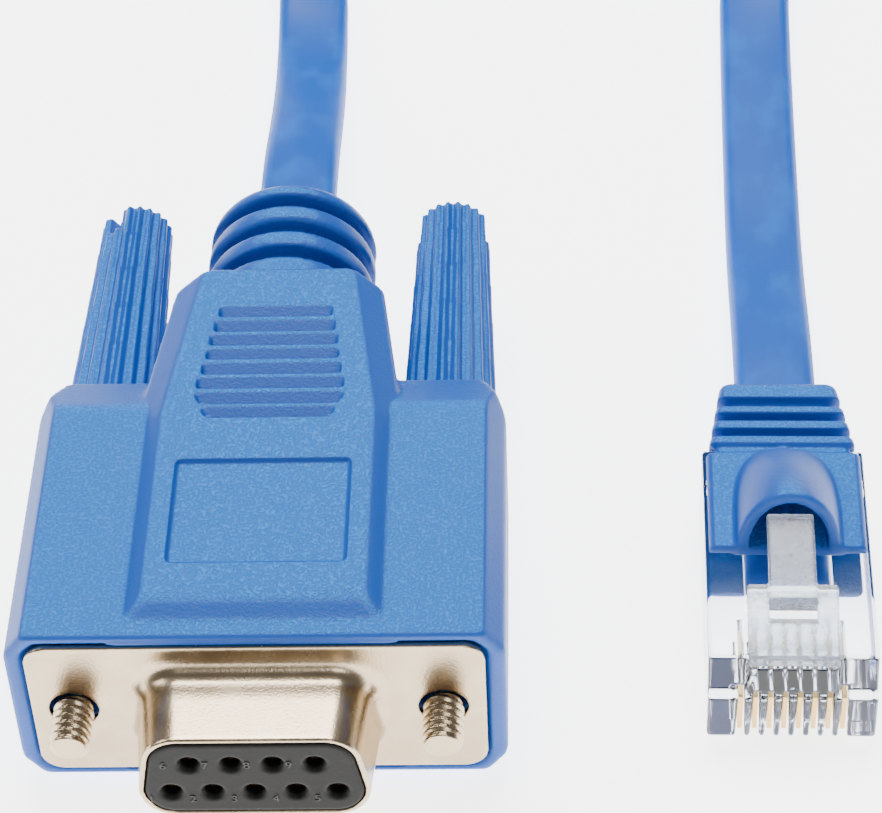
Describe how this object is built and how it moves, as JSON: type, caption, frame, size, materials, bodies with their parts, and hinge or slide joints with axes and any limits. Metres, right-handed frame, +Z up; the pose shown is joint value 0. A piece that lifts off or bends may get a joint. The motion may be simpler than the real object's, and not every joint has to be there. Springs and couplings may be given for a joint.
{
  "type": "serial console cable",
  "caption": "Flat blue console cable with a D socket in a moulded hood with thumbscrews and a clear modular plug in a slide-on boot, its spare length coiled.",
  "frame": {"origin": "centre of the base of the D socket's box (hood, shell and thumbscrews), on the surface it lies on", "axes": "+Y from the D socket's mating face towards its cable, +X to the right seen from above, towards the modular plug, +Z up"},
  "size_m": [0.0794, 0.1822, 0.016],
  "materials": {
    "hood_pvc": "satin moulded PVC, finely textured on its flat faces",
    "nickel_shell": "nickel plated steel, bright",
    "nickel_screw": "nickel plated steel, rolled thread",
    "insulator_black": "satin black",
    "gold_contacts": "gold plated",
    "jacket_pvc": "satin smooth",
    "boot_pvc": "satin soft PVC",
    "clear_plastic": "clear polycarbonate, glossy"
  },
  "bodies": {
    "cable": {"db9_hood": "hood_pvc", "db9_shell": "nickel_shell", "db9_insulator": "insulator_black", "db9_contact_1": "gold_contacts", "db9_contact_2": "gold_contacts", "db9_contact_3": "gold_contacts", "db9_contact_4": "gold_contacts", "db9_contact_5": "gold_contacts", "db9_contact_6": "gold_contacts", "db9_contact_7": "gold_contacts", "db9_contact_8": "gold_contacts", "db9_contact_9": "gold_contacts", "cable_db9_run": "jacket_pvc", "cable_coil": "jacket_pvc", "cable_rj45_run": "jacket_pvc", "rj45_boot": "boot_pvc", "rj45_plug_body": "clear_plastic", "rj45_contact_1": "gold_contacts", "rj45_contact_2": "gold_contacts", "rj45_contact_3": "gold_contacts", "rj45_contact_4": "gold_contacts", "rj45_contact_5": "gold_contacts", "rj45_contact_6": "gold_contacts", "rj45_contact_7": "gold_contacts", "rj45_contact_8": "gold_contacts"},
    "thumbscrew_left": {"thumbscrew_knob_left": "hood_pvc", "thumbscrew_screw_left": "nickel_screw"},
    "thumbscrew_right": {"thumbscrew_knob_right": "hood_pvc", "thumbscrew_screw_right": "nickel_screw"},
    "latch": {"rj45_latch": "clear_plastic"}
  },
  "joints": [
    {"name": "thumbscrew_left_spin", "type": "hinge", "parent": "cable", "child": "thumbscrew_left", "pos_m": [-0.01249, 0, 0.008], "axis": [0, 1, 0], "continuous": true},
    {"name": "thumbscrew_right_spin", "type": "hinge", "parent": "cable", "child": "thumbscrew_right", "pos_m": [0.01249, 0, 0.008], "axis": [0, 1, 0], "continuous": true},
    {"name": "latch_press", "type": "hinge", "parent": "cable", "child": "latch", "pos_m": [0.03632, -0.01735, 0.0071], "axis": [-0.9998, 0.0209, 0], "range_deg": [0, 8], "stiffness_Nm_per_rad": 0.3}
  ]
}
